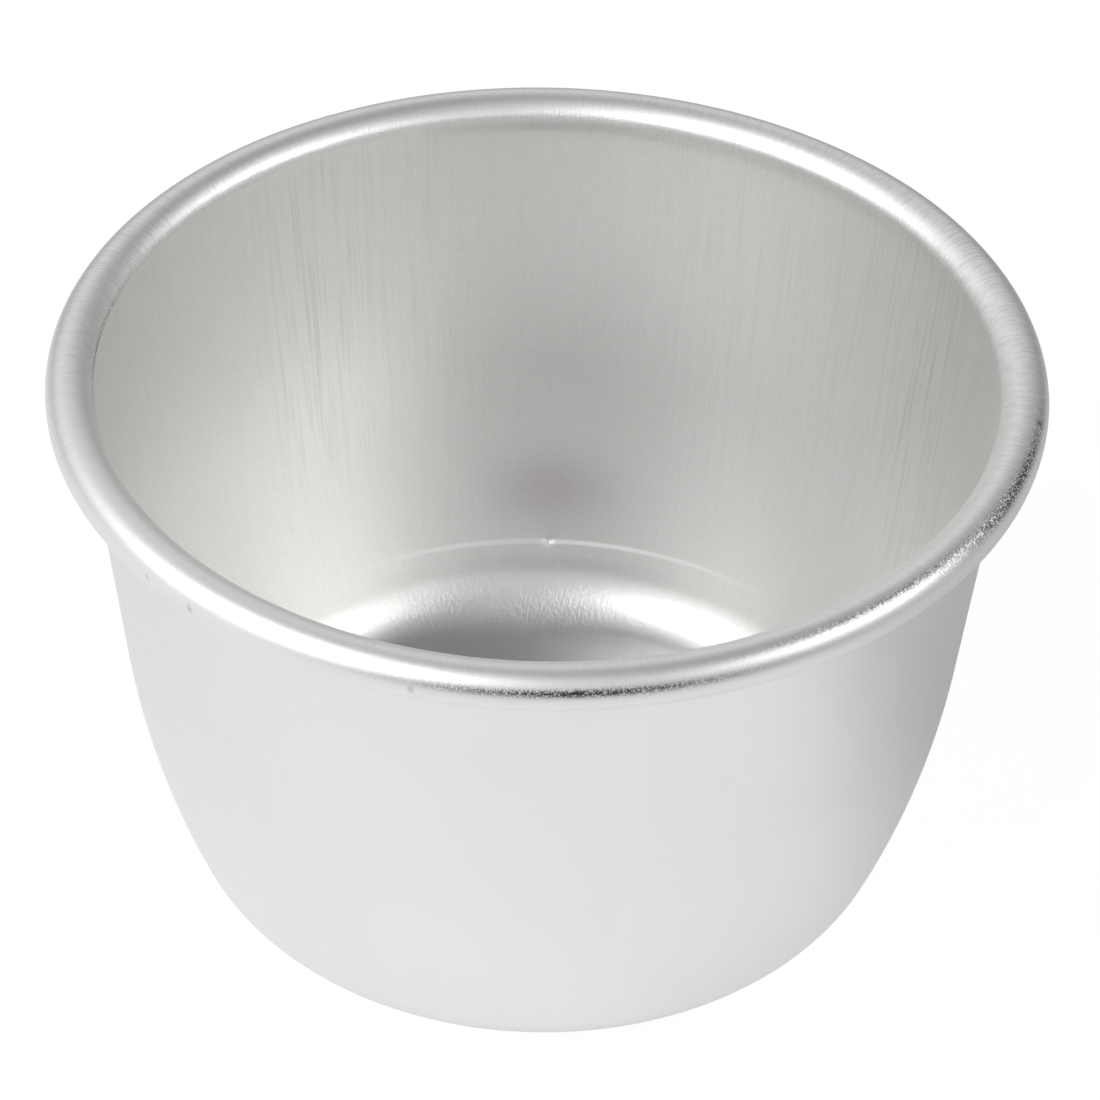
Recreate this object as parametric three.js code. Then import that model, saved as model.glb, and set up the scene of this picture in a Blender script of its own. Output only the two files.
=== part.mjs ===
// Dariole mould: a low round cup drawn from one aluminium sheet, its edge rolled outward over a ring of wire.
// Millimetres, +Z up. The origin is the centre of the underside.
import * as THREE from "three";

// Driving dimensions, outside sizes unless they say otherwise
const rimDiameter = 85; // across the bead
const mouldHeight = 52;
const sheetThickness = 0.9;
const footDiameter = 59; // where the flat base and the lower wall would meet without a corner radius
const bellyDiameter = 70.4; // where the lower and the upper wall would meet without a belly radius
const bellyHeight = 14.5;
const bellyRadius = 81;
const insideCornerRadius = 6.6;
const wireDiameter = 1.7;
const wireClearance = 0.2; // between the wire and the inside of the curl
const wireEndGap = 0.6; // between the butted ends of the wire
const curlGap = 0.3; // between the edge of the curl and the wall

// Counts of facets
const stepsAround = 72;
const cornerSteps = 5;
const bellySteps = 6;
const curlInsideSteps = 11;
const curlOutsideSteps = 14;
const wireSides = 10;
const samePoint = 0.001; // points of the section closer than this are one point

// Sizes that follow from them
const curlInsideRadius = wireDiameter / 2 + wireClearance;
const beadRadius = curlInsideRadius + sheetThickness;
const beadRing = rimDiameter / 2 - beadRadius; // radius of the circle that the bead runs along
const beadCentre = new THREE.Vector2(beadRing, mouldHeight - beadRadius);

// Points along an arc in the profile plane, both ends included
function arcPoints(centre, radius, startAngle, endAngle, steps) {
  const points = [];
  for (let step = 0; step <= steps; step += 1) {
    const angle = THREE.MathUtils.lerp(startAngle, endAngle, step / steps);
    const offset = new THREE.Vector2(Math.cos(angle), Math.sin(angle)).multiplyScalar(radius);
    points.push(offset.add(centre));
  }
  return points;
}

// Arc that rounds the left turn at a profile corner between two straight runs
function roundedTurn(corner, headingIn, headingOut, radius) {
  const setback = radius * Math.tan((headingOut - headingIn) / 2);
  const centre = new THREE.Vector2(
    corner.x - setback * Math.cos(headingIn) - radius * Math.sin(headingIn),
    corner.y - setback * Math.sin(headingIn) + radius * Math.cos(headingIn),
  );
  const quarterTurn = Math.PI / 2;
  return { centre, radius, setback, start: headingIn - quarterTurn, end: headingOut - quarterTurn };
}

// Underside, corner, lower wall, belly and upper wall: each heading is measured from the horizontal
const footCorner = new THREE.Vector2(footDiameter / 2, 0);
const bellyCorner = new THREE.Vector2(bellyDiameter / 2, bellyHeight);
const lowerWall = bellyCorner.clone().sub(footCorner);
const lowerHeading = lowerWall.angle();
const towardsBead = beadCentre.clone().sub(bellyCorner);
const upperHeading = towardsBead.angle() + Math.asin(curlInsideRadius / towardsBead.length());

const corner = roundedTurn(footCorner, 0, lowerHeading, insideCornerRadius + sheetThickness);
const straightLeft = lowerWall.length() - corner.setback;
const widestBelly = straightLeft / Math.tan((upperHeading - lowerHeading) / 2);
const belly = roundedTurn(bellyCorner, lowerHeading, upperHeading, Math.min(bellyRadius, widestBelly));

// The curl runs clockwise from the top of the wall until its edge comes back to the outside of the wall
const curlStart = upperHeading + Math.PI / 2;
const curlOpening = Math.acos((curlInsideRadius - curlGap) / beadRadius);
const curlEnd = curlStart - (2 * Math.PI - curlOpening);

// Section of the sheet: out along its underside and back along its inner face, one sheet away
function sheetSection() {
  const innerCorner = corner.radius - sheetThickness;
  const innerBelly = belly.radius - sheetThickness;
  return [
    new THREE.Vector2(0, 0),
    ...arcPoints(corner.centre, corner.radius, corner.start, corner.end, cornerSteps),
    ...arcPoints(belly.centre, belly.radius, belly.start, belly.end, bellySteps),
    ...arcPoints(beadCentre, curlInsideRadius, curlStart, curlEnd, curlInsideSteps),
    ...arcPoints(beadCentre, beadRadius, curlEnd, curlStart, curlOutsideSteps),
    ...arcPoints(belly.centre, innerBelly, belly.end, belly.start, bellySteps),
    ...arcPoints(corner.centre, innerCorner, corner.end, corner.start, cornerSteps),
    new THREE.Vector2(0, sheetThickness),
  ];
}

// Leaves out points that fall on the one before, as where the belly arc takes up the whole lower wall
function withoutRepeats(points) {
  return points.filter((point, i) => i === 0 || point.distanceTo(points[i - 1]) > samePoint);
}

// Open ring inside the curl, from one butted end of the wire to the other
class WireRing extends THREE.Curve {
  getPoint(share, target = new THREE.Vector3()) {
    const endAngle = wireEndGap / beadRing / 2;
    const angle = THREE.MathUtils.lerp(endAngle, 2 * Math.PI - endAngle, share);
    return target.set(beadRing * Math.cos(angle), beadRing * Math.sin(angle), 0);
  }
}

function makeShell() {
  const geometry = new THREE.LatheGeometry(withoutRepeats(sheetSection()), stepsAround);
  const drawnAluminium = new THREE.MeshStandardMaterial({ color: 0xd6d6d4, roughness: 0.34, metalness: 1 });
  const shell = new THREE.Mesh(geometry, drawnAluminium);
  shell.name = "drawn_shell";
  shell.rotation.x = Math.PI / 2; // the lathe turns about Y, and the mould stands along Z
  return shell;
}

function makeWire() {
  const section = new THREE.Shape().absarc(0, 0, wireDiameter / 2, 0, 2 * Math.PI);
  const geometry = new THREE.ExtrudeGeometry(section, {
    steps: stepsAround,
    curveSegments: wireSides / 2, // a full circle takes two sides for each segment
    extrudePath: new WireRing(),
  });
  const galvanisedSteel = new THREE.MeshStandardMaterial({ color: 0x9a9da0, roughness: 0.45, metalness: 1 });
  const wire = new THREE.Mesh(geometry, galvanisedSteel);
  wire.name = "rim_wire";
  wire.position.z = beadCentre.y;
  return wire;
}

const darioleMould = new THREE.Group();
darioleMould.add(makeShell(), makeWire());

export default darioleMould;
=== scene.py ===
import math

import bpy
import numpy as np
from mathutils import Matrix, Vector


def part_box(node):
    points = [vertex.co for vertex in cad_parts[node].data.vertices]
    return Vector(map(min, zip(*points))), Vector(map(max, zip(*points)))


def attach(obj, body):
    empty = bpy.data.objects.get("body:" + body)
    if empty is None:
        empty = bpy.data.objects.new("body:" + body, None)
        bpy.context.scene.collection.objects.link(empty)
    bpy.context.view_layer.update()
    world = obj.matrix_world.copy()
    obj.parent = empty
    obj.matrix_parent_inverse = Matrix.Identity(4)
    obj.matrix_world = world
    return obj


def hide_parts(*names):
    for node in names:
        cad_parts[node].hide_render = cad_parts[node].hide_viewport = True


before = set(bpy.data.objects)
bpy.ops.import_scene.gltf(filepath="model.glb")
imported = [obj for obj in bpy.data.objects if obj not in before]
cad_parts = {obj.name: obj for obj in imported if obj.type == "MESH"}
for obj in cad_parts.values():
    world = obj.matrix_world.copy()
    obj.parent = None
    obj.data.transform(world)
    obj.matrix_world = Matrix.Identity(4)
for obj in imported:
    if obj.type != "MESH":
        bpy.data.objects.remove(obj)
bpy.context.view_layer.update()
print("frame loaded:", ", ".join(sorted(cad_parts)))

mm = 0.001  # one millimetre in scene units


def linearFromHex(hexColour):
    shares = [int(hexColour[i:i + 2], 16) / 255 for i in (1, 3, 5)]
    linear = [s / 12.92 if s <= 0.04045 else ((s + 0.055) / 1.055) ** 2.4 for s in shares]
    return (*linear, 1.0)


def addNode(tree, kind, settings=None, values=None, links=None):
    node = tree.nodes.new(kind)
    for name, value in (settings or {}).items():
        setattr(node, name, value)
    for socket, value in (values or {}).items():
        node.inputs[socket].default_value = value
    for socket, source in (links or {}).items():
        tree.links.new(source, node.inputs[socket])
    return node


def emptyTree(owner):
    owner.use_nodes = True
    owner.node_tree.nodes.clear()
    return owner.node_tree


def linkPiece(name, mesh):
    piece = bpy.data.objects.new(name, mesh)
    bpy.context.scene.collection.objects.link(piece)
    return piece


def softStep(values, low, high):
    share = np.clip((values - low) / (high - low), 0, 1)
    return share * share * (3 - 2 * share)


# The drawn sheet: floor, wall and rolled bead are one piece

mouldForm = {  # millimetres, outside sizes as the mould is drawn
    "sheet": 0.9,
    "footDiameter": 59,  # base and lower wall would meet here without the corner
    "bellyDiameter": 70.4,  # lower and upper wall would meet here without the belly
    "bellyHeight": 14.5,
    "bellyRadius": 81,
    "insideCorner": 6.6,
    "wireClearance": 0.2,  # between the wire and the curl
    "curlGap": 0.3,  # between the edge of the curl and the wall
    "aroundSteps": 720,
    "wallStep": 0.6,  # between points of the section on gentle runs
    "tightStep": 0.2,  # on the corner and the bead
    "markStep": 0.06,  # across the draw mark
    "samePoint": 0.0001,  # points of the section closer than this are one point
}

mouldRelief = {  # millimetres
    "markHeight": 7.5,  # ring left inside by the edge of the first draw
    "markDepth": 0.12,
    "markWidth": 0.6,
    "markFade": 3.0,  # the step dies away over this height below the ring
    "markFaint": 0.08,  # share of the depth that goes all round
    "markAzimuth": 91,  # degrees, where the ring is deepest
    "markSpread": 20,
    "nickAzimuth": 89.4,  # a nick on the ring
    "nickWidth": 0.42,
    "nickDepth": 0.14,
    "lipSwell": 0.22,  # how far the start of the bead bulges into the mouth
    "lipReach": 1.0,
    "rimSway": 0.06,  # how far the rim is out of round
    "rimLobes": (2, 3, 5),
    "wallSway": 0.006,  # long low waves in the wall
    "wallLobes": (7, 11, 16),
    "waveLean": 0.25,  # radians that a wave leans in a millimetre of height, at most
    "waveRise": (0.05, 0.4),  # shares of the height over which the waves set in
    "swaySeed": 5,
    "phases": 6.3,  # radians, a whole turn
}

wireLow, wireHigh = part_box("rim_wire")
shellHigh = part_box("drawn_shell")[1]
wireRadius = round((wireHigh.z - wireLow.z) / 2 / mm, 2)
mouldHeight = round(shellHigh.z / mm, 1)
rimRadius = round(shellHigh.x / mm, 1)
curlInside = wireRadius + mouldForm["wireClearance"]
beadRadius = curlInside + mouldForm["sheet"]
beadCentre = (rimRadius - beadRadius, mouldHeight - beadRadius)


def arcRun(centre, radius, start, end, step):
    count = max(2, math.ceil(abs(end - start) * radius / step))
    angles = np.linspace(start, end, count + 1)
    return np.column_stack((centre[0] + radius * np.cos(angles), centre[1] + radius * np.sin(angles)))


def straightRun(start, end, step):
    count = max(1, math.ceil(math.dist(start, end) / step))
    return np.linspace(start, end, count + 1)


def roundedTurn(corner, headingIn, headingOut, radius):
    setback = radius * math.tan((headingOut - headingIn) / 2)
    centre = (
        corner[0] - setback * math.cos(headingIn) - radius * math.sin(headingIn),
        corner[1] - setback * math.sin(headingIn) + radius * math.cos(headingIn),
    )
    return centre, headingIn - math.pi / 2, headingOut - math.pi / 2


# Section from the middle of the floor up the inside, over the bead and down the outside to the underside
def sheetSection():
    form = mouldForm
    sheet, wallStep, tightStep = form["sheet"], form["wallStep"], form["tightStep"]
    foot = (form["footDiameter"] / 2, 0)
    belly = (form["bellyDiameter"] / 2, form["bellyHeight"])
    lowerHeading = math.atan2(belly[1] - foot[1], belly[0] - foot[0])
    reach = math.dist(belly, beadCentre)
    upperHeading = math.atan2(beadCentre[1] - belly[1], beadCentre[0] - belly[0])
    upperHeading += math.asin(curlInside / reach)
    cornerOut, bellyOut = form["insideCorner"] + sheet, form["bellyRadius"]
    cornerIn, bellyIn = form["insideCorner"], bellyOut - sheet
    cornerMid, cornerStart, cornerEnd = roundedTurn(foot, 0, lowerHeading, cornerOut)
    bellyMid, bellyStart, bellyEnd = roundedTurn(belly, lowerHeading, upperHeading, bellyOut)
    curlStart = upperHeading + math.pi / 2
    curlEnd = curlStart - 2 * math.pi + math.acos((curlInside - form["curlGap"]) / beadRadius)
    markLow, markHigh = (
        math.asin((mouldRelief["markHeight"] + side * 2 * mouldRelief["markWidth"] - bellyMid[1]) / bellyIn)
        for side in (-1, 1)
    )
    innerCorner = arcRun(cornerMid, cornerIn, cornerStart, cornerEnd, tightStep)
    innerWall = np.vstack((
        arcRun(bellyMid, bellyIn, bellyStart, markLow, tightStep),
        arcRun(bellyMid, bellyIn, markLow, markHigh, form["markStep"]),
        arcRun(bellyMid, bellyIn, markHigh, bellyEnd, wallStep),
    ))
    bead = arcRun(beadCentre, beadRadius, curlStart, curlEnd, tightStep)
    curl = arcRun(beadCentre, curlInside, curlEnd, curlStart, tightStep)
    outerWall = np.vstack((
        arcRun(bellyMid, bellyOut, bellyEnd, bellyStart, wallStep),
        arcRun(cornerMid, cornerOut, cornerEnd, cornerStart, 2 * tightStep),
    ))
    runs = {
        "floor": straightRun((wallStep, sheet), innerCorner[0], wallStep),
        "inside": np.vstack((innerCorner, innerWall, straightRun(innerWall[-1], bead[0], tightStep))),
        "bead": bead,
        "curl": curl,
        "outside": np.vstack((straightRun(curl[-1], outerWall[0], wallStep), outerWall)),
        "underside": straightRun(outerWall[-1], (wallStep, 0), wallStep),
    }
    points, zones = [], []
    for zone, run in runs.items():
        for point in run:
            if not points or math.dist(point, points[-1]) > form["samePoint"]:
                points.append(point)
                zones.append(zone)
    return np.array(points), np.array(zones)


# Small waves that both faces of the sheet follow, then what stands up from the inner face: the ring that the
# draw left and the start of the bead
def sheetRelief(section, zones, angles):
    relief = mouldRelief
    waves = np.random.default_rng(relief["swaySeed"])
    heights = section[:, 1]
    rise = heights / mouldHeight
    sway = np.zeros((len(angles), len(section)))
    for lobes in relief["rimLobes"]:
        turns = lobes * angles + waves.uniform(0, relief["phases"])
        sway += relief["rimSway"] / lobes * np.cos(turns)[:, None] * rise
    for lobes in relief["wallLobes"]:
        lean = waves.uniform(-relief["waveLean"], relief["waveLean"])
        turns = lobes * angles[:, None] + lean * heights + waves.uniform(0, relief["phases"])
        sway += relief["wallSway"] * np.cos(turns) * softStep(rise, *relief["waveRise"])
    below = relief["markHeight"] - heights
    step = softStep(below, -relief["markWidth"] / 2, relief["markWidth"] / 2)
    step *= 1 - softStep(below, 2 * relief["markWidth"], relief["markFade"])
    step *= (zones == "inside")
    degrees = np.degrees(angles)
    deep = np.exp(-((degrees - relief["markAzimuth"]) / relief["markSpread"]) ** 2)
    around = relief["markFaint"] + (1 - relief["markFaint"]) * deep
    fromNick = np.radians(degrees - relief["nickAzimuth"])[:, None] * section[:, 0]
    nick = np.exp(-(fromNick ** 2 + below ** 2) / relief["nickWidth"] ** 2) * (zones == "inside")
    fromLip = np.linalg.norm(section - section[zones == "bead"][0], axis=1)
    lip = np.exp(-(fromLip / relief["lipReach"]) ** 2) * np.isin(zones, ("inside", "bead"))
    raised = relief["markDepth"] * around[:, None] * step
    return sway, raised + relief["lipSwell"] * lip - relief["nickDepth"] * nick


def buildShellMesh():
    section, zones = sheetSection()
    around, along = mouldForm["aroundSteps"], len(section)
    angles = np.linspace(0, 2 * math.pi, around, endpoint=False)
    slopes = np.gradient(section, axis=0)
    slopes /= np.linalg.norm(slopes, axis=1)[:, None]
    sway, raised = sheetRelief(section, zones, angles)
    radii = section[:, 0] + sway - raised * slopes[:, 1]
    heights = section[:, 1] + raised * slopes[:, 0]
    turned = np.cos(angles)[:, None], np.sin(angles)[:, None]
    points = np.stack((radii * turned[0], radii * turned[1], heights), axis=-1).reshape(-1, 3)
    index = np.arange(around * along).reshape(around, along)
    beside = np.roll(index, -1, axis=0)
    quads = np.stack((index[:, :-1], index[:, 1:], beside[:, 1:], beside[:, :-1]), axis=-1).reshape(-1, 4)
    middleUp, middleDown = around * along, around * along + 1
    caps = [(middleUp, index[i, 0], beside[i, 0]) for i in range(around)]
    caps += [(middleDown, beside[i, -1], index[i, -1]) for i in range(around)]
    points = np.vstack((points, [(0, 0, mouldForm["sheet"]), (0, 0, 0)]))
    mesh = bpy.data.meshes.new("mouldShell")
    mesh.from_pydata((points * mm).tolist(), [], quads.tolist() + caps)
    mesh.shade_smooth()
    paintShares(mesh, section, zones, angles)
    print("shell mesh:", len(points), "points,", along, "along the section")
    return mesh


# Where each finish lies, for the material: millimetres along the drawn sheet, and shares from 0 to 1
def paintShares(mesh, section, zones, angles):
    finish = drawnAluminium
    along = np.concatenate(([0], np.cumsum(np.linalg.norm(np.diff(section, axis=0), axis=1))))
    beadStart, beadEnd = along[zones == "bead"][[0, -1]]
    cornerStart = along[zones == "inside"][0]
    heights = section[:, 1]
    blend = finish["beadBlend"]
    beadIn, beadOut = softStep(along, beadStart - blend, beadStart), softStep(along, beadEnd - blend, beadEnd)
    inside = 1 - beadIn
    peel = np.exp(-((along - cornerStart - finish["peelMiddle"]) / finish["peelReach"]) ** 2)
    scored = inside * softStep(heights, *finish["scoring"])
    # painted dark reflection: a soft grey patch on the far wall above the ring
    darkReflected = inside * np.exp(-((heights - finish["darkReflectionHeight"]) / finish["darkReflectionReach"]) ** 2)
    degrees = np.degrees(angles)
    scoredAround = np.zeros(len(angles))
    for at, spread, much in finish["scores"]:
        scoredAround += much * np.exp(-((degrees - at) / spread) ** 2)
    darkReflectedAround = np.exp(-((degrees - finish["darkReflectionAzimuth"]) / finish["darkReflectionSpread"]) ** 2)
    peelAround = np.exp(-((degrees - finish["peelAzimuth"]) / finish["peelSpread"]) ** 2)
    turns = np.degrees(np.arctan2(heights - beadCentre[1], section[:, 0] - beadCentre[0]))
    turns = np.where(turns < -90, turns + 360, turns)
    brushed = beadIn * (1 - beadOut) * softStep(turns, *finish["brushing"])
    brushedAround = np.full(len(angles), finish["brushFaint"])
    for at, spread, much in finish["brushes"]:
        brushedAround += much * np.exp(-(((degrees - at + 180) % 360 - 180) / spread) ** 2)
    flat = np.ones(len(angles))
    marked = {}
    for kind in ("rubsAndDarkReflections", "pits", "burrs"):
        marked[kind] = np.zeros((len(angles), len(along)))
        for azimuth, turn, across, down, much in finish[kind]:
            acrossMark = np.radians((degrees - azimuth + 180) % 360 - 180) * rimRadius / across
            downMark = np.radians(turns - turn) * beadRadius / down
            marked[kind] += much * np.exp(-acrossMark[:, None] ** 2 - downMark ** 2) * (zones == "bead")
    shares = {
        "beadShare": np.outer(flat, beadIn * (1 - beadOut)),
        "baseShare": np.outer(flat, inside * (1 - softStep(heights, *finish["roughening"]))),
        "outsideShare": np.outer(flat, beadOut),
        "insideShare": np.outer(flat, inside),
        "scoreShare": np.outer(scoredAround, scored),
        "peelShare": np.outer(peelAround, peel),
        "darkReflectionShare": np.outer(darkReflectedAround, darkReflected),
        "brushShare": np.outer(brushedAround, brushed),
        # wear and painted dark reflections on the bead
        "rubAndDarkReflectionShare": marked["rubsAndDarkReflections"],
        "pitShare": marked["pits"],
        "burrShare": marked["burrs"],
    }
    for name, values in shares.items():
        spread = np.concatenate((values.ravel(), values[0, [0, -1]]))
        mesh.attributes.new(name, "FLOAT", "POINT").data.foreach_set("value", spread)
    ring = finish["pathRadius"] * np.stack((np.cos(angles), np.sin(angles)), axis=-1)
    path = np.dstack((np.repeat(ring[:, None], len(along), axis=1), np.outer(flat, along))).reshape(-1, 3)
    path = np.vstack((path, [(0, 0, 0), (0, 0, along[-1])]))
    mesh.attributes.new("drawnPath", "FLOAT_VECTOR", "POINT").data.foreach_set("vector", path.ravel())


# Bare aluminium sheet, deep drawn: a matt satin where the wall was stretched, brighter on the floor and
# outside, with fine lines up the wall in the direction of the draw, and grey wear on the rolled bead that
# also holds painted dark reflections; a painted dark reflection lies on the far wall too
drawnAluminium = {
    "colour": "#F6F6F5",
    "lineColour": "#D7D2D1",  # in the draw lines and the scoring
    "stainColour": "#EBE9E7",
    # grey of a painted dark reflection on the far wall
    "darkReflectionColour": "#DDDADA",
    "brushColour": "#B9B6B4",  # in the brush marks across the bead
    "rubAndDarkReflectionColour": "#5A5856",  # grey of wear on the bead, also painting the bead's dark reflections
    "pitColour": "#474544",
    "wallRoughness": 0.43,
    "baseRoughness": 0.28,
    "beadRoughness": 0.5,
    "outsideRoughness": 0.35,
    "roughening": (0.92, 1.7),  # heights in millimetres between the brighter floor and the satin wall
    "beadBlend": 0.8,
    "pathRadius": 36,  # of the cylinder that the patterns are laid on
    "darkReflectionHeight": 12.5,  # a painted dark reflection on the wall above the ring, a soft grey patch
    "darkReflectionReach": 3.2,
    "darkReflectionAzimuth": 89,
    "darkReflectionSpread": 9,
    "peelRoughness": 0.52,
    "peelMiddle": 3.8,  # millimetres up the inside from the floor
    "peelReach": 3.0,
    "peelAzimuth": 96,
    "peelSpread": 20,
    "brushing": (20, 50),  # degrees above level round the bead where the brush marks set in
    "brushes": ((15, 45, 0.8), (160, 28, 0.5)),  # azimuth, spread, strength
    "brushFaint": 0.25,
    # Wear on the bead, partly painted dark reflections where the bead mirrors dark parts of the room:
    # azimuth, degrees above level round the bead, reach along and round it in millimetres and strength
    "rubsAndDarkReflections": (
        (-86, 22, 11, 0.28, 1.4),
        (-22, 46, 11, 0.5, 1.3),
        (-46, 62, 14, 0.3, 0.8),
        (178, 168, 12, 0.4, 0.8),
    ),
    "pits": (
        (-86, 23, 0.3, 0.25, 1.0),
        (-9, 48, 0.3, 0.35, 0.8),
        (-132, -4, 0.12, 0.3, 0.4),
        (-104, 0, 0.12, 0.3, 0.3),
        (-139, 2, 0.12, 0.2, 0.3),
    ),
    "burrs": ((115, 160, 40, 0.45, 1.0), (178, 155, 16, 0.5, 0.8)),
    "scoring": (12, 24),  # heights in millimetres over which the scoring sets in
    "scores": ((127, 7, 1.4), (112, 14, 0.6), (60, 20, 0.5), (26, 14, 1.6)),  # azimuth, spread, strength
}

# Patterns on the sheet in millimetres: width across the draw, length along it, height of the relief and where
# that lies.
# Real draw lines are some hundredths of a millimetre wide: they are drawn coarser here, to show.
sheetPatterns = {
    "drawLines": {"width": 0.18, "length": 9.0, "detail": 3.0, "height": 0.003, "where": "insideShare"},
    "grain": {"width": 0.2, "length": 0.22, "detail": 1.0, "height": 0.004, "where": None},
    "scoring": {"width": 0.3, "length": 13.0, "detail": 3.0, "height": 0.004, "where": "scoreShare"},
    "peel": {"width": 0.4, "length": 0.55, "detail": 2.0, "height": 0.07, "where": "peelShare"},
    "ripples": {"width": 0.16, "length": 1.5, "detail": 2.0, "height": 0.035, "where": "brushShare"},
    "speckle": {"width": 0.15, "length": 0.17, "detail": 2.0, "height": 0.008, "where": "beadShare"},
    "burr": {"width": 0.16, "length": 0.3, "detail": 2.0, "height": 0.05, "where": "burrShare"},
    "stains": {"width": 9.0, "length": 12.0, "detail": 3.0, "height": 0, "where": None},
}

# Tones of the sheet: pattern, where it lies, range of the pattern that shows, how much of the colour
sheetTones = (
    ("drawLines", "insideShare", (0.4, 0.8), 0.12, "lineColour"),
    ("scoring", "scoreShare", (0.5, 0.75), 0.35, "lineColour"),
    ("grain", "insideShare", (0.4, 0.7), 0.14, "lineColour"),
    ("stains", None, (0.5, 0.8), 0.15, "stainColour"),
    # painted dark reflection on the far wall, in the grain pattern
    ("grain", "darkReflectionShare", (-0.4, 0.5), 1.0, "darkReflectionColour"),
    ("ripples", "brushShare", (0.45, 0.7), 0.35, "brushColour"),
    # painted dark reflections on the bead, speckled like wear
    ("speckle", "rubAndDarkReflectionShare", (0.36, 0.56), 0.95, "rubAndDarkReflectionColour"),
    ("speckle", "pitShare", (0.0, 0.3), 1.0, "pitColour"),
)


def makeDrawnAluminium(mesh):
    finish = drawnAluminium
    material = bpy.data.materials.new("drawn aluminium")
    tree = emptyTree(material)
    path = addNode(tree, "ShaderNodeAttribute", {"attribute_name": "drawnPath"}).outputs["Vector"]
    shares = {}
    for name in [painted.name for painted in mesh.attributes if painted.name.endswith("Share")]:
        shares[name] = addNode(tree, "ShaderNodeAttribute", {"attribute_name": name}).outputs["Fac"]
    patterns = {}
    for name, pattern in sheetPatterns.items():
        cells = (1 / pattern["width"], 1 / pattern["width"], 1 / pattern["length"])
        scaled = addNode(tree, "ShaderNodeVectorMath", {"operation": "MULTIPLY"}, {1: cells}, {0: path})
        noise = addNode(tree, "ShaderNodeTexNoise", None, {"Scale": 1.0, "Detail": pattern["detail"]},
                        {"Vector": scaled.outputs[0]})
        patterns[name] = noise.outputs[0]
    heights = None
    for name, pattern in sheetPatterns.items():
        if not pattern["height"]:
            continue
        relief = addNode(tree, "ShaderNodeMath", {"operation": "MULTIPLY"},
                         {1: pattern["height"]}, {0: patterns[name]}).outputs[0]
        if pattern["where"]:
            relief = addNode(tree, "ShaderNodeMath", {"operation": "MULTIPLY"},
                             links={0: relief, 1: shares[pattern["where"]]}).outputs[0]
        if heights:
            relief = addNode(tree, "ShaderNodeMath", links={0: heights, 1: relief}).outputs[0]
        heights = relief
    bump = addNode(tree, "ShaderNodeBump", None, {"Strength": 1.0, "Distance": mm}, {"Height": heights})
    roughness = addNode(tree, "ShaderNodeMapRange", None,
                        {"To Min": finish["wallRoughness"], "To Max": finish["baseRoughness"]},
                        {"Value": shares["baseShare"]}).outputs[0]
    for name, level in (("peelShare", "peelRoughness"), ("outsideShare", "outsideRoughness"),
                        ("beadShare", "beadRoughness")):
        roughness = addNode(tree, "ShaderNodeMapRange", None, {"To Max": finish[level]},
                            {"Value": shares[name], "To Min": roughness}).outputs[0]
    colour = None
    for name, share, (low, high), much, tone in sheetTones:
        amount = addNode(tree, "ShaderNodeMapRange", None,
                         {"From Min": low, "From Max": high, "To Max": much},
                         {"Value": patterns[name]}).outputs[0]
        if share:
            amount = addNode(tree, "ShaderNodeMath", {"operation": "MULTIPLY"},
                             links={0: amount, 1: shares[share]}).outputs[0]
        toned = addNode(tree, "ShaderNodeMix", {"data_type": "RGBA"},
                        {6: linearFromHex(finish["colour"]), 7: linearFromHex(finish[tone])}, {0: amount})
        if colour:
            tree.links.new(colour, toned.inputs[6])
        colour = toned.outputs[2]
    metal = addNode(tree, "ShaderNodeBsdfPrincipled", None, {"Metallic": 1.0}, {
        "Base Color": colour, "Roughness": roughness, "Normal": bump.outputs[0]})
    addNode(tree, "ShaderNodeOutputMaterial", links={"Surface": metal.outputs["BSDF"]})
    return material


shell = linkPiece("mouldShell", buildShellMesh())
shell.data.materials.append(makeDrawnAluminium(shell.data))
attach(shell, "root")
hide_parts("drawn_shell")

# The wire that the edge is rolled round

rimWire = {"aroundSteps": 360, "sides": 24, "endGap": 0.6}  # gap between the butted ends in millimetres


def buildWireMesh():
    ring, height = beadCentre
    steps, sides = rimWire["aroundSteps"], rimWire["sides"]
    halfGap = rimWire["endGap"] / ring / 2
    angles = np.linspace(halfGap, 2 * math.pi - halfGap, steps + 1)
    turns = np.linspace(0, 2 * math.pi, sides, endpoint=False)
    radii = ring + wireRadius * np.cos(turns)
    heights = np.tile(height + wireRadius * np.sin(turns), (steps + 1, 1))
    points = np.stack((np.outer(np.cos(angles), radii), np.outer(np.sin(angles), radii), heights), axis=-1)
    index = np.arange((steps + 1) * sides).reshape(steps + 1, sides)
    beside = np.roll(index, -1, axis=1)
    quads = np.stack((index[:-1], index[1:], beside[1:], beside[:-1]), axis=-1).reshape(-1, 4)
    ends = [index[0].tolist(), index[-1][::-1].tolist()]
    mesh = bpy.data.meshes.new("rimWire")
    mesh.from_pydata((points.reshape(-1, 3) * mm).tolist(), [], quads.tolist() + ends)
    mesh.shade_smooth()
    return mesh


# Galvanised mild steel wire: dull blue grey with a faint crystal mottle
galvanisedSteel = {"pale": "#B3B7BA", "dark": "#8E9397", "roughness": 0.48, "spangle": 0.8}


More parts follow.
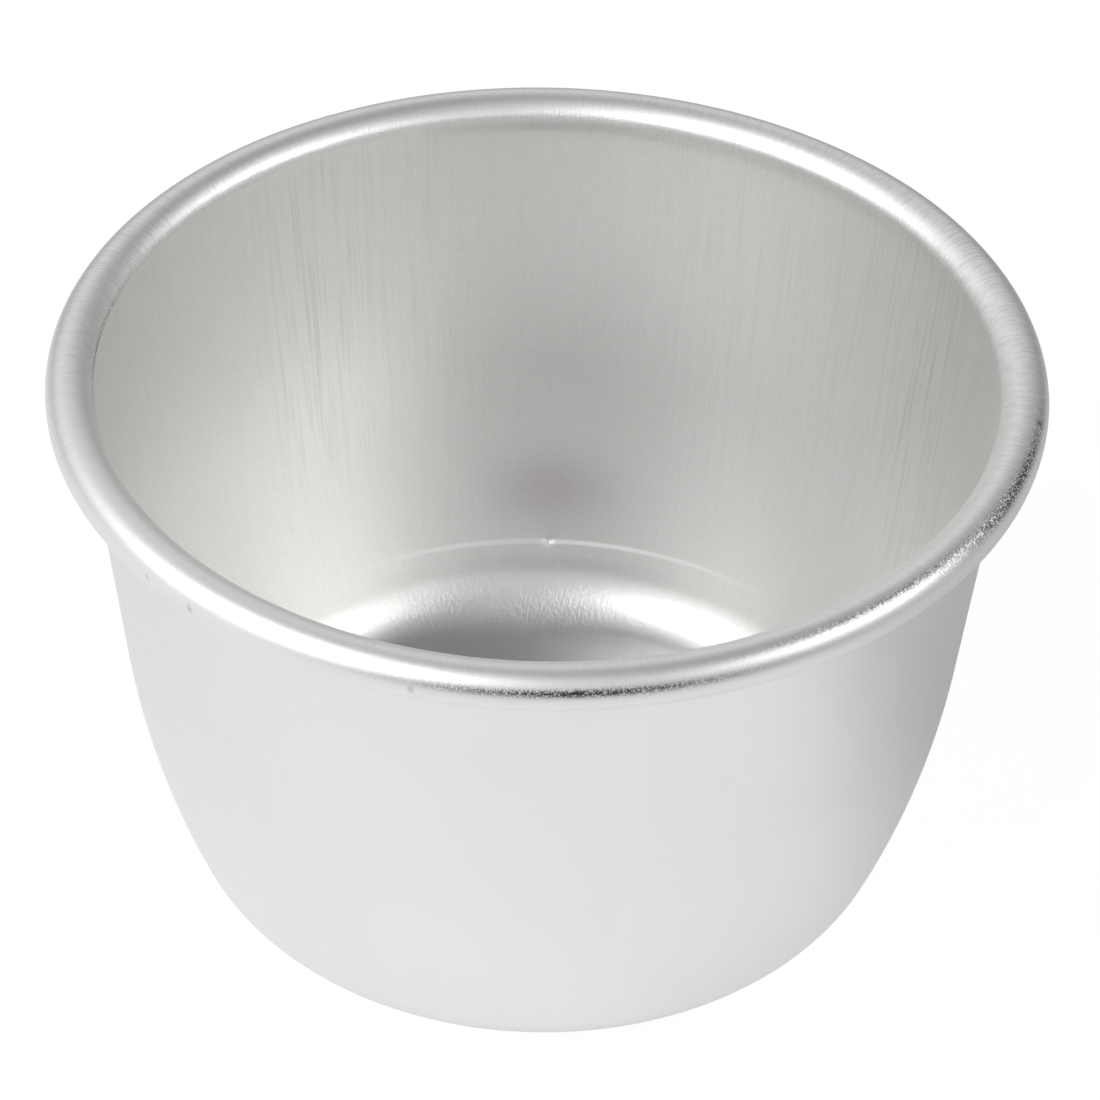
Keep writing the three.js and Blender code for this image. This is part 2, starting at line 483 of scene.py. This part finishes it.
def makeGalvanisedSteel():
    material = bpy.data.materials.new("galvanised steel wire")
    tree = emptyTree(material)
    place = addNode(tree, "ShaderNodeTexCoord")
    spangle = addNode(tree, "ShaderNodeTexVoronoi", None, {"Scale": 1 / (galvanisedSteel["spangle"] * mm)},
                      {"Vector": place.outputs["Object"]})
    tone = addNode(tree, "ShaderNodeMix", {"data_type": "RGBA"},
                   {6: linearFromHex(galvanisedSteel["pale"]), 7: linearFromHex(galvanisedSteel["dark"])},
                   {0: spangle.outputs["Color"]})
    metal = addNode(tree, "ShaderNodeBsdfPrincipled", None,
                    {"Metallic": 1.0, "Roughness": galvanisedSteel["roughness"]},
                    {"Base Color": tone.outputs[2]})
    addNode(tree, "ShaderNodeOutputMaterial", links={"Surface": metal.outputs["BSDF"]})
    return material


wire = linkPiece("rimWire", buildWireMesh())
wire.data.materials.append(makeGalvanisedSteel())
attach(wire, "root")
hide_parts("rim_wire")
print("pieces made: mouldShell, rimWire")

# Studio: pale board, pale surround with a dark ceiling, two softboxes

studio = {
    "boardColour": "#E7E7E7",
    "boardReach": 900,  # millimetres to the sides and behind
    "boardFront": 250,
    "boardDrop": 0.1,  # below the underside, so that the two faces stay apart
    "boardWhite": 1.15,  # level of the white that the camera sees on the board
    "cameraShare": 0.78,  # how much of that white stands in for the lit board
    "mirrorWhite": 0.9,  # level that the metal sees there
    "mirrorShade": 0.42,  # and on the far right, away from the key
    "shadeAzimuth": 45,
    "shadeFrom": (2, 48),  # millimetres out that way
    "mirrorShare": 0.55,  # how much of it stands in for the lit board
    "backdropShare": 0.05,  # how much of the white backdrop the metal sees in the surround
    "horizon": 0.0,
    "surround": 0.8,
    "ceiling": 0.0,
    "ceilingAim": (-72, 85),  # azimuth and elevation of its middle, which lies towards the camera
    "paleFrom": (0.0, 0.42),  # sines of the elevations between the horizon and the pale surround
    "ceilingFrom": (0.68, 0.91),  # cosines of the angles from its middle, outside and inside its edge
    "darkSides": ((5, 30, 71, 1.0), (-67, 48, 80, 0.28)),  # azimuth, elevation, spread, share of light lost
    "darkHeart": 0.2,  # share of the spread that is darkest
}

softboxes = {  # degrees as seen from the mould, millimetres, level where 1 is white
    "keySoftbox": {"azimuth": -147, "elevation": 40, "distance": 700, "size": (560, 600), "level": 3.45},
    "fillSoftbox": {"azimuth": -13, "elevation": 37, "distance": 700, "size": (530, 320), "level": 3.8},
}


def towards(azimuth, elevation):
    a, e = math.radians(azimuth), math.radians(elevation)
    return Vector((math.cos(e) * math.cos(a), math.cos(e) * math.sin(a), math.sin(e)))


# How much of the white the camera sees, and how much of it the metal mirrors
def whiteShare(tree, rays, camera, mirror):
    mirrored = addNode(tree, "ShaderNodeMath", {"operation": "MAXIMUM"},
                       links={0: rays.outputs["Is Glossy Ray"], 1: rays.outputs["Is Transmission Ray"]})
    faint = addNode(tree, "ShaderNodeMath", {"operation": "MULTIPLY"}, {1: mirror}, {0: mirrored.outputs[0]})
    return addNode(tree, "ShaderNodeMath", {"operation": "MULTIPLY_ADD"}, {1: camera},
                   {0: rays.outputs["Is Camera Ray"], 2: faint.outputs[0]}).outputs[0]


def makeBoard():
    reach, front = studio["boardReach"] * mm, -studio["boardFront"] * mm
    mesh = bpy.data.meshes.new("studioBoard")
    corners = [(-reach, front, 0), (reach, front, 0), (reach, reach, 0), (-reach, reach, 0)]
    mesh.from_pydata(corners, [], [(0, 1, 2, 3)])
    board = linkPiece("studioBoard", mesh)
    board.location.z = -studio["boardDrop"] * mm
    material = bpy.data.materials.new("matt white board")
    tree = emptyTree(material)
    matt = addNode(tree, "ShaderNodeBsdfDiffuse", None, {"Color": linearFromHex(studio["boardColour"])})
    rays = addNode(tree, "ShaderNodeLightPath")
    place = addNode(tree, "ShaderNodeTexCoord")
    farRight = addNode(tree, "ShaderNodeVectorMath", {"operation": "DOT_PRODUCT"},
                       {1: towards(studio["shadeAzimuth"], 0)}, {0: place.outputs["Object"]})
    near, far = (reach * mm for reach in studio["shadeFrom"])
    shaded = addNode(tree, "ShaderNodeMapRange", {"interpolation_type": "SMOOTHSTEP"},
                     {"From Min": near, "From Max": far, "To Min": studio["mirrorWhite"],
                      "To Max": studio["mirrorShade"]}, {"Value": farRight.outputs["Value"]})
    level = addNode(tree, "ShaderNodeMapRange", None, {"To Max": studio["boardWhite"]},
                    {"Value": rays.outputs["Is Camera Ray"], "To Min": shaded.outputs[0]})
    white = addNode(tree, "ShaderNodeEmission", links={"Strength": level.outputs[0]})
    share = whiteShare(tree, rays, studio["cameraShare"], studio["mirrorShare"])
    mixed = addNode(tree, "ShaderNodeMixShader", links={0: share, 1: matt.outputs[0], 2: white.outputs[0]})
    addNode(tree, "ShaderNodeOutputMaterial", links={"Surface": mixed.outputs[0]})
    mesh.materials.append(material)


def makeSurround():
    world = bpy.data.worlds.new("studio surround")
    bpy.context.scene.world = world
    tree = emptyTree(world)
    place = addNode(tree, "ShaderNodeTexCoord").outputs["Generated"]
    rise = addNode(tree, "ShaderNodeSeparateXYZ", links={0: place}).outputs["Z"]
    low, high = studio["paleFrom"]
    level = addNode(tree, "ShaderNodeMapRange", {"interpolation_type": "SMOOTHSTEP"},
                    {"From Min": low, "From Max": high, "To Min": studio["horizon"],
                     "To Max": studio["surround"]}, {"Value": rise}).outputs[0]
    overhead = addNode(tree, "ShaderNodeVectorMath", {"operation": "DOT_PRODUCT"},
                       {1: towards(*studio["ceilingAim"])}, {0: place}).outputs["Value"]
    low, high = studio["ceilingFrom"]
    level = addNode(tree, "ShaderNodeMapRange", {"interpolation_type": "SMOOTHSTEP"},
                    {"From Min": low, "From Max": high, "To Max": studio["ceiling"]},
                    {"Value": overhead, "To Min": level}).outputs[0]
    for azimuth, elevation, spread, lost in studio["darkSides"]:
        facing = addNode(tree, "ShaderNodeVectorMath", {"operation": "DOT_PRODUCT"},
                         {1: towards(azimuth, elevation)}, {0: place})
        edge, heart = (math.cos(math.radians(spread * share)) for share in (1, studio["darkHeart"]))
        dimmed = addNode(tree, "ShaderNodeMapRange", {"interpolation_type": "SMOOTHSTEP"},
                         {"From Min": edge, "From Max": heart, "To Min": 1.0, "To Max": 1 - lost},
                         {"Value": facing.outputs["Value"]})
        level = addNode(tree, "ShaderNodeMath", {"operation": "MULTIPLY"},
                        links={0: level, 1: dimmed.outputs[0]}).outputs[0]
    rays = addNode(tree, "ShaderNodeLightPath")
    white = (1, 1, 1, 1)
    room = addNode(tree, "ShaderNodeBackground", None, {"Color": white}, {"Strength": level})
    backdrop = addNode(tree, "ShaderNodeBackground", None, {"Color": white})
    share = whiteShare(tree, rays, 1.0, studio["backdropShare"])
    mixed = addNode(tree, "ShaderNodeMixShader", links={0: share, 1: room.outputs[0], 2: backdrop.outputs[0]})
    addNode(tree, "ShaderNodeOutputWorld", links={"Surface": mixed.outputs[0]})


def makeSoftbox(name):
    box = softboxes[name]
    lamp = bpy.data.lights.new(name, "AREA")
    lamp.shape = "RECTANGLE"
    lamp.size, lamp.size_y = (side * mm for side in box["size"])
    lamp.energy = box["level"] * math.pi * lamp.size * lamp.size_y  # watts that give this level
    softbox = bpy.data.objects.new(name, lamp)
    bpy.context.scene.collection.objects.link(softbox)
    direction = towards(box["azimuth"], box["elevation"])
    softbox.location = Vector((0, 0, mouldHeight / 2 * mm)) + direction * box["distance"] * mm
    softbox.rotation_euler = direction.to_track_quat("Z", "Y").to_euler()
    softbox.visible_camera = False


makeBoard()
makeSurround()
for softboxName in softboxes:
    makeSoftbox(softboxName)

# Camera

view = {  # millimetres, degrees and pixels, fitted to the outline of the mould in the photograph
    "distance": 510,
    "elevation": 38.64,
    "roll": 1.24,
    "aim": (0.525, 0, 31.55),
    "focalPixels": 5876.2,
    "framePixels": 1100,
    "sensor": 36,
    "clipStart": 10,
}


def makeCamera():
    lens = bpy.data.cameras.new("photoCamera")
    lens.sensor_width = view["sensor"]
    lens.lens = view["focalPixels"] / view["framePixels"] * lens.sensor_width
    lens.clip_start = view["clipStart"] * mm
    camera = bpy.data.objects.new("photoCamera", lens)
    bpy.context.scene.collection.objects.link(camera)
    tilt = math.radians(view["roll"])
    back = towards(-90, view["elevation"])
    side = Vector((1, 0, 0))
    up = back.cross(side)
    right = side * math.cos(tilt) + up * math.sin(tilt)
    top = up * math.cos(tilt) - side * math.sin(tilt)
    camera.matrix_world = Matrix((right, top, back)).transposed().to_4x4()
    camera.matrix_world.translation = Vector(view["aim"]) * mm + back * view["distance"] * mm
    bpy.context.scene.camera = camera


makeCamera()
bpy.context.scene.view_settings.view_transform = "Standard"
print("studio and camera set")
